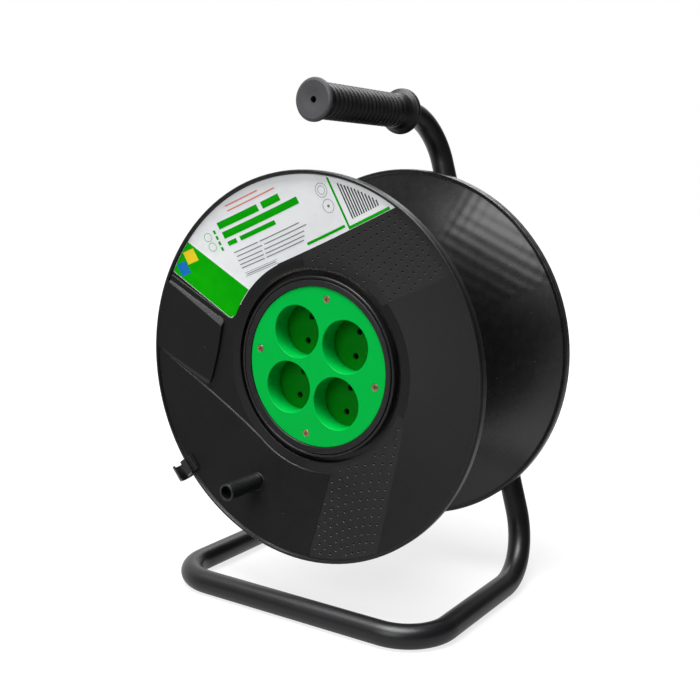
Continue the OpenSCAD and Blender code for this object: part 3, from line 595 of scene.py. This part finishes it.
INK_RED = printed_film("ink_red", (0.75, 0.2, 0.15))
INK_BLACK = printed_film("ink_black", (0.035, 0.035, 0.035))
INK_YELLOW = printed_film("ink_yellow", (0.85, 0.62, 0.01))
INK_BLUE = printed_film("ink_blue", (0.0, 0.15, 0.5))

NODE_FINISH = {
    "frame_tube": POWDER_COAT,
    "handle_grip": GRIP_RUBBER,
    "axle_bolt": ZINC,
    "axle_nut": ZINC,
    "axle_sleeve": ZINC,
    "axle_washer": ZINC,
    "thrust_washer": ZINC,
    "axle_saddle": TRIM_PLASTIC,
    "axle_back_saddle": TRIM_PLASTIC,
    "front_flange": FACE_PLASTIC,
    "rear_flange": REAR_PLASTIC,
    "drum_core": DRUM_PLASTIC,
    "front_hub_bush": NYLON,
    "rear_hub_bush": NYLON,
    "hub_screws": ZINC,
    "socket_bezel": TRIM_PLASTIC,
    "socket_panel": GREEN_PANEL,
    "panel_screws": SCREW_BRASS,
    "contact_carrier": INNER_PLASTIC,
    "carrier_screw": ZINC,
    "line_busbar": CONTACT_BRASS,
    "neutral_busbar": CONTACT_BRASS,
    "contact_sleeves": CONTACT_BRASS,
    "terminal_screws": ZINC,
    "cord_inlet_bush": INLET_RUBBER,
    "rim_clip": TRIM_PLASTIC,
    "front_label": LABEL_WHITE,
    "crank_screw": ZINC,
    "crank_sleeve": TRIM_PLASTIC,
}


def dress_nodes():
    for name, finish in NODE_FINISH.items():
        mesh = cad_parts[name].data
        mesh.materials.clear()
        mesh.materials.append(finish.material)


dress_nodes()


# ---------------------------------------------------------------- the dished face
def face_height(radius):
    return FLAT_FACE + DISH_SLOPE * max(0.0, radius - DISH_RADIUS)


def label_height(radius):
    share = (radius - LABEL_INNER_RADIUS) / (LABEL_OUTER_RADIUS - LABEL_INNER_RADIUS)
    return LABEL_FACE_INNER + share * (LABEL_FACE_OUTER - LABEL_FACE_INNER)


def from_label(u, v):
    """A point u along the label's lower edge and v out from the axle, on the face."""
    c, s = math.cos(LABEL_ANGLE), math.sin(LABEL_ANGLE)
    return Vector((u * c - v * s, u * s + v * c))


def lay_on_face(bm, height_at):
    """Turns a flat drawing, x right and y up from the axle, into its place on the front flange."""
    for vert in bm.verts:
        x, y, over = vert.co
        height = height_at(math.hypot(x, y)) + over
        vert.co = Vector((x, -height, y + AXLE_HEIGHT)) * MM


def add_piece(name, bm, body, finishes):
    mesh = bpy.data.meshes.new(name)
    bm.to_mesh(mesh)
    bm.free()
    for finish in finishes:
        mesh.materials.append(finish.material)
    for face in mesh.polygons:
        face.use_smooth = True
    piece = bpy.data.objects.new(name, mesh)
    bpy.context.scene.collection.objects.link(piece)
    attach(piece, body)


def arc(radius, start, end, step):
    """Points along an arc from one angle to another, both included."""
    count = max(2, math.ceil(abs(end - start) * radius / step))
    return [polar(radius, start + (end - start) * i / count) for i in range(count + 1)]


def straight(start, end, step):
    """Points from start to end, the end left out."""
    count = max(1, math.ceil((end - start).length / step))
    return [start + (end - start) * (i / count) for i in range(count)]


def on_line(foot, direction, radius):
    """The point of a line, given by its foot nearest the axle, that lies on a circle round the axle."""
    return foot + direction * math.sqrt(radius ** 2 - foot.length_squared)


def angle_of(point):
    return math.atan2(point.y, point.x)


# The materials of a pit skin: its own grained one is number 0, then a near-black one as painted shade in
# the pits and a paler, glossier one as a painted glint on their lower lips.
PIT_PAINTED_SHADE, PIT_PAINTED_GLINT = 1, 2


def pit_skin(name, outline, pits, open_end):
    """A thin raised skin between the smooth fields, with a round pit at each point.

    It tapers down to the face at its inner and outer edges and at the angle of its open end. Each pit's
    floor and the upper part of its wall carry painted shade, a near-black material, and the lower part of
    its wall carries a painted glint, a paler and glossier material."""
    bm = bmesh.new()
    corners = [bm.verts.new((p.x, p.y, 0)) for p in outline]
    for index, vert in enumerate(corners):
        bm.edges.new((vert, corners[(index + 1) % len(corners)]))
    tree = kdtree.KDTree(len(pits))
    for index, pit in enumerate(pits):
        tree.insert((pit.x, pit.y, 0), index)
        place = Matrix.Translation((pit.x, pit.y, 0))
        bmesh.ops.create_circle(bm, segments=PIT_SEGMENTS, radius=PIT_RADIUS, matrix=place)
    tree.balance()
    bmesh.ops.triangle_fill(bm, edges=bm.edges[:], use_beauty=True, normal=(0, 0, 1))
    rims = [e for e in bm.edges if e.is_boundary and e.verts[0] not in corners]
    for ring, (radius, depth) in enumerate(PIT_RINGS):
        made = bmesh.ops.extrude_edge_only(bm, edges=rims)["geom"]
        if ring == 0:
            for edge in rims:
                edge.smooth = False
        for vert in (g for g in made if isinstance(g, bmesh.types.BMVert)):
            centre = Vector(tree.find((vert.co.x, vert.co.y, 0))[0])
            away = Vector((vert.co.x, vert.co.y, 0)) - centre
            vert.co = centre + away.normalized() * radius + Vector((0, 0, -depth))
        for face in (g for g in made if ring and isinstance(g, bmesh.types.BMFace)):
            middle = face.calc_center_median()
            pit = Vector(tree.find((middle.x, middle.y, 0))[0])
            # The lower half of the wall gets the painted glint, the rest of the pit the painted shade.
            face.material_index = PIT_PAINTED_GLINT if ring == 1 and middle.y < pit.y - 0.25 else PIT_PAINTED_SHADE
        rims = [g for g in made if isinstance(g, bmesh.types.BMEdge)]
    for face in bmesh.ops.holes_fill(bm, edges=rims, sides=PIT_SEGMENTS)["faces"]:
        face.material_index = PIT_PAINTED_SHADE
    for vert in bm.verts:
        radius, angle = math.hypot(vert.co.x, vert.co.y), angle_of(vert.co)
        rise = smooth_step((radius - SKIN_INNER_RADIUS) / SKIN_TAPER)
        rise *= smooth_step((LIP_INNER_RADIUS - 0.2 - radius) / SKIN_TAPER)
        from_end = abs(math.atan2(math.sin(angle - open_end), math.cos(angle - open_end)))
        rise *= smooth_step(from_end * radius / SKIN_TAPER)
        vert.co.z += SKIN_LIFT + SKIN_RISE * rise
    lay_on_face(bm, face_height)
    bmesh.ops.recalc_face_normals(bm, faces=bm.faces[:])
    face_forward(bm)
    add_piece(name, bm, "drum", [FIELD_PLASTIC, PIT_PAINTED_SHADE_PLASTIC, PIT_PAINTED_GLINT_PLASTIC])


def face_forward(bm):
    """Turns an open sheet so that its front looks out of the drum."""
    bm.normal_update()
    if sum(face.normal.y * face.calc_area() for face in bm.faces) > 0:
        bmesh.ops.reverse_faces(bm, faces=bm.faces[:])


def face_forward_each(bm):
    """Turns each loose face so that its front looks out of the drum."""
    bm.normal_update()
    bmesh.ops.reverse_faces(bm, faces=[f for f in bm.faces if f.normal.y > 0])


def lower_pits():
    """Columns that lean together towards the rim, between the two smooth fields."""
    pits = []
    left_normal = Vector((math.cos(LEFT_FIELD_LEAN), -math.sin(LEFT_FIELD_LEAN)))
    right_normal = polar(1, RIGHT_FIELD_TANGENT)
    for column in range(-3, 8):
        lean = math.tan(math.radians(8.4 - 2.3 * column))
        for row in range(-6, 10):
            y = -84.9 + 3.5 * column - 0.16 * column ** 2 - LOWER_PIT_PITCH * row
            point = Vector((19.2 + LOWER_COLUMN_PITCH * column - lean * (y + 100), y))
            if not PITS_INNER_RADIUS < point.length < PITS_OUTER_RADIUS or point.x < 0:
                continue
            if point @ left_normal < LEFT_FIELD_DISTANCE + LEFT_PIT_MARGIN:
                continue
            if point @ right_normal > RIGHT_FIELD_TANGENT_RADIUS - PIT_MARGIN:
                continue
            if angle_of(point) < LOWER_PITS_END:
                pits.append(point)
    return pits


def upper_pits():
    """Rows that fan out from the label's lower edge, up to the edge of the right smooth field."""
    pits = []
    label_normal = polar(1, LABEL_ANGLE + math.pi / 2)
    field_normal = polar(1, RIGHT_FIELD_ANGLE + math.pi / 2)
    for row in range(12):
        start = Vector((72.7 + 4.25 * row + 0.02 * row ** 2, 117 - 3.6 * row + 0.05 * row ** 2))
        back = polar(-UPPER_PIT_PITCH, math.radians(25.7 + 2.45 * row))
        for index in range(16):
            point = start + index * back
            if not PITS_INNER_RADIUS < point.length < PITS_OUTER_RADIUS:
                continue
            if point @ label_normal > LABEL_EDGE - PIT_MARGIN:
                continue
            if point @ field_normal < RIGHT_FIELD_DISTANCE + PIT_MARGIN:
                continue
            if angle_of(point) < UPPER_PITS_END:
                pits.append(point)
    return pits


def lower_skin_outline(outer):
    left_side = Vector((math.cos(LEFT_FIELD_LEAN), -math.sin(LEFT_FIELD_LEAN)))
    left_foot = (LEFT_FIELD_DISTANCE + SKIN_GAP) * left_side
    left_run = Vector((-math.sin(LEFT_FIELD_LEAN), -math.cos(LEFT_FIELD_LEAN)))
    right_foot = polar(RIGHT_FIELD_TANGENT_RADIUS - SKIN_GAP, RIGHT_FIELD_TANGENT)
    right_run = Vector((math.sin(RIGHT_FIELD_TANGENT), -math.cos(RIGHT_FIELD_TANGENT)))
    end_radius = right_foot.length / math.cos(RIGHT_FIELD_TANGENT - LOWER_SKIN_END)
    left_in = on_line(left_foot, left_run, SKIN_INNER_RADIUS)
    left_out = on_line(left_foot, left_run, outer)
    right_in = on_line(right_foot, right_run, end_radius)
    right_out = on_line(right_foot, right_run, outer)
    return [
        *arc(SKIN_INNER_RADIUS, angle_of(left_in), LOWER_SKIN_END, 3.0),
        *straight(right_in, right_out, 6.0),
        *arc(outer, angle_of(right_out), angle_of(left_out), 4.0),
        *straight(left_out, left_in, 6.0)[1:],
    ]


def upper_skin_outline(outer):
    label_side = LABEL_ANGLE + math.pi / 2
    label_foot = polar(LABEL_EDGE - SKIN_GAP, label_side)
    label_run = polar(1, LABEL_ANGLE)
    field_foot = polar(RIGHT_FIELD_DISTANCE + SKIN_GAP, RIGHT_FIELD_ANGLE + math.pi / 2)
    field_run = polar(1, RIGHT_FIELD_ANGLE)
    end_radius = label_foot.length / math.cos(label_side - UPPER_SKIN_END)
    label_in = on_line(label_foot, label_run, end_radius)
    label_out = on_line(label_foot, label_run, outer)
    field_in = on_line(field_foot, field_run, SKIN_INNER_RADIUS)
    field_out = on_line(field_foot, field_run, outer)
    return [
        *arc(SKIN_INNER_RADIUS, UPPER_SKIN_END, angle_of(field_in), 3.0),
        *straight(field_in, field_out, 6.0)[1:],
        *arc(outer, angle_of(field_out), angle_of(label_out), 4.0),
        *straight(label_out, label_in, 6.0)[1:],
        label_in,
    ]


def make_pit_skins():
    outer = LIP_INNER_RADIUS - 0.05
    pit_skin("lower_pit_skin", lower_skin_outline(outer), lower_pits(), LOWER_SKIN_END)
    pit_skin("upper_pit_skin", upper_skin_outline(outer), upper_pits(), UPPER_SKIN_END)


# ---------------------------------------------------------------- print on the label
INKS = [INK_GREEN, INK_GREY, INK_RED, INK_BLACK, INK_YELLOW, INK_BLUE, LABEL_WHITE]


def edges_of(verts):
    """The edges that meet the given points, each once and always in the same order."""
    return list(dict.fromkeys(edge for vert in verts for edge in vert.link_edges))


def ink_faces(verts, ink):
    for face in {f for v in verts for f in v.link_faces}:
        face.material_index = INKS.index(ink)


def print_bar(bm, ink, u_start, u_end, v_middle, thickness, over=0.0):
    """A straight bar along the label's lower edge."""
    length = u_end - u_start
    across = max(1, round(length / 4))
    upright = max(1, round(thickness / 4))
    middle = Matrix.Translation(((u_start + u_end) / 2, v_middle, over))
    turned = Matrix.Rotation(LABEL_ANGLE, 4, "Z") @ (middle @ Matrix.Diagonal((length, thickness, 1, 1)))
    made = bmesh.ops.create_grid(bm, x_segments=across, y_segments=upright, size=0.5, matrix=turned)
    ink_faces(made["verts"], ink)


def print_ring(bm, ink, u, v, radius, width):
    """A round outline, or a full dot where the width is the radius."""
    centre = from_label(u, v)
    place = Matrix.Translation((centre.x, centre.y, 0))
    made = bmesh.ops.create_circle(bm, cap_ends=width >= radius, segments=28, radius=radius, matrix=place)
    if width < radius:
        grown = bmesh.ops.extrude_edge_only(bm, edges=edges_of(made["verts"]))["geom"]
        inner = [g for g in grown if isinstance(g, bmesh.types.BMVert)]
        middle = Vector((centre.x, centre.y, 0))
        for vert in inner:
            vert.co = middle + (vert.co - middle) * (1 - width / radius)
        made["verts"] += inner
    ink_faces(made["verts"], ink)


def print_outline(bm, ink, points):
    """A filled outline, cut into short faces so that it follows the dish."""
    verts = [bm.verts.new((p.x, p.y, 0)) for p in points]
    face = bm.faces.new(verts)
    face.material_index = INKS.index(ink)
    parts = [face, *face.edges, *face.verts]
    for axis in (Vector((1, 0, 0)), Vector((0, 1, 0))):
        for step in range(-15, 16):
            cut = bmesh.ops.bisect_plane(bm, geom=parts, plane_co=axis * step * 10, plane_no=axis)
            parts = list(dict.fromkeys(cut["geom"]))


def green_band(bm):
    """The coloured end of the label."""
    edge_out, edge_in = Vector((-142.4, 75.2)), Vector((-82.0, 30.7))
    band_out, band_in = Vector((-112.9, 87.9)), Vector((-63.3, 52.7))
    reach = LABEL_OUTER_RADIUS - 0.25
    along = (edge_in - edge_out).normalized()
    foot = edge_in - along * (edge_in @ along)
    start = foot - along * math.sqrt(reach ** 2 - foot.length_squared)
    inner = LABEL_INNER_RADIUS + 0.3
    points = [start]
    points += [edge_in, Vector((-79.9, 29.9)), Vector((-78.2, 31.1))]
    corner = Vector((-76.4, 31.6))
    points += arc(inner, angle_of(corner), angle_of(band_in), 3.0)
    points += arc(reach, angle_of(band_out), angle_of(start), 5.0)[:-1]
    print_outline(bm, INK_GREEN, points)


def stripe_block(bm):
    """A block of equal stripes in the label's outer corner."""
    first, pitch, width, foot = 77.0, 2.3, 1.2, 88.7
    for index in range(12):
        position = first + pitch * index
        top = math.sqrt((LABEL_OUTER_RADIUS - 3.0) ** 2 - (position + 1.0) ** 2)
        turned = Matrix.Rotation(LABEL_ANGLE, 4, "Z") @ Matrix.Translation((position, (top + foot) / 2, 0))
        turned = turned @ Matrix.Diagonal((width, top - foot, 1, 1))
        made = bmesh.ops.create_grid(bm, x_segments=1, y_segments=6, size=0.5, matrix=turned)
        ink_faces(made["verts"], INK_BLACK)


def make_label_print():
    bm = bmesh.new()
    green_band(bm)
    stripe_block(bm)
    print_bar(bm, INK_GREEN, 71.4, 110.6, 84.0, 2.2)
    line_top = math.sqrt((LABEL_OUTER_RADIUS - 0.6) ** 2 - 71.0 ** 2)
    corners = ((69.8, 82.9), (71.6, 82.9), (71.6, line_top - 0.8), (69.8, line_top))
    print_outline(bm, INK_GREEN, [from_label(u, v) for u, v in corners])
    # Heading bars: start and end along the label's lower edge, distance from the axle, and thickness.
    for start, end, middle, thickness in (
        (-37.3, 2.6, 125.4, 5.2), (6.6, 24.3, 125.4, 5.2), (-36.7, 38.5, 117.6, 5.2),
        (-36.0, -27.5, 110.6, 3.4), (-24.0, 11.2, 110.6, 3.4), (29.1, 67.5, 86.6, 2.0),
    ):
        print_bar(bm, INK_GREEN, start, end, middle, thickness)
    for start, end, middle in ((-23.5, 8.9, 136.4), (-23.6, 23.8, 132.6)):
        print_bar(bm, INK_RED, start, end, middle, 0.9)
    # Thin lines in two columns.
    for start, end, middle in (
        (-34.7, 30.6, 102.9), (-33.8, 35.9, 99.5), (-34.5, 31.6, 96.1),
        (-34.4, 30.1, 93.0), (-34.3, 27.7, 90.2),
    ):
        print_bar(bm, INK_GREY, start, start + (end - start) * 0.36, middle, 0.75)
        print_bar(bm, INK_GREY, start + (end - start) * 0.39, end, middle, 0.75)
    for middle in (83.3, 86.0):
        print_bar(bm, INK_GREY, -34.2, -2.4, middle, 0.3)
    print_bar(bm, INK_GREY, -32.8, -4.0, 84.65, 0.6)
    for v, radius in ((116.0, 5.2), (116.0, 3.2), (104.0, 5.0)):
        print_ring(bm, INK_GREY, 61.4, v, radius, 0.35)
    print_ring(bm, INK_GREY, 61.4, 104.0, 1.1, 1.1)
    for v in (121.0, 113.2):
        print_ring(bm, INK_GREEN, -49.9, v, 3.4, 0.35)
    for v in (109.0, 113.5, 118.0, 122.5):
        print_bar(bm, INK_GREEN, -43.6, -41.6, v, 3.0)
    print_bar(bm, INK_YELLOW, -76.5, -66.5, 113.4, 10.0, 0.06)
    print_bar(bm, INK_BLUE, -86.0, -77.5, 107.0, 10.0, 0.06)
    lay_on_face(bm, lambda radius: label_height(radius) + PRINT_HEIGHT)
    face_forward_each(bm)
    add_piece("label_print", bm, "drum", INKS)


def make_weld_bead():
    """The bead where the leg's end meets the side of the upright."""
    leg_angle = math.radians(WELD_LEG_ANGLE)
    along = Vector((math.sin(leg_angle), 0, math.cos(leg_angle)))
    across = Vector((math.cos(leg_angle), 0, -math.sin(leg_angle)))
    between = leg_angle + math.radians(UPRIGHT_LEAN)
    path = []
    for index in range(WELD_RINGS):
        turn = 2 * math.pi * index / WELD_RINGS
        back = TUBE_RADIUS * (abs(math.cos(turn)) + math.cos(turn) * math.cos(between)) / math.sin(between)
        out = TUBE_RADIUS * (math.cos(turn) * across + math.sin(turn) * Vector((0, 1, 0)))
        path.append(Vector(WELD_CENTRE) - back * along + out)
    bm = bmesh.new()
    loops = []
    for index, point in enumerate(path):
        ahead = (path[(index + 1) % WELD_RINGS] - path[index - 1]).normalized()
        place = Matrix.Translation(point * MM) @ ahead.to_track_quat("Z", "Y").to_matrix().to_4x4()
        size = (BEAD_RADIUS + BEAD_RIPPLE * math.sin(index * 2.4)) * MM
        ring = bmesh.ops.create_circle(bm, segments=10, radius=size, matrix=place)["verts"]
        loops.append(edges_of(ring))
    for index, loop in enumerate(loops):
        bmesh.ops.bridge_loops(bm, edges=loop + loops[(index + 1) % WELD_RINGS])
    bmesh.ops.recalc_face_normals(bm, faces=bm.faces[:])
    add_piece("weld_bead", bm, "frame", [POWDER_COAT])


make_pit_skins()
make_label_print()
make_weld_bead()
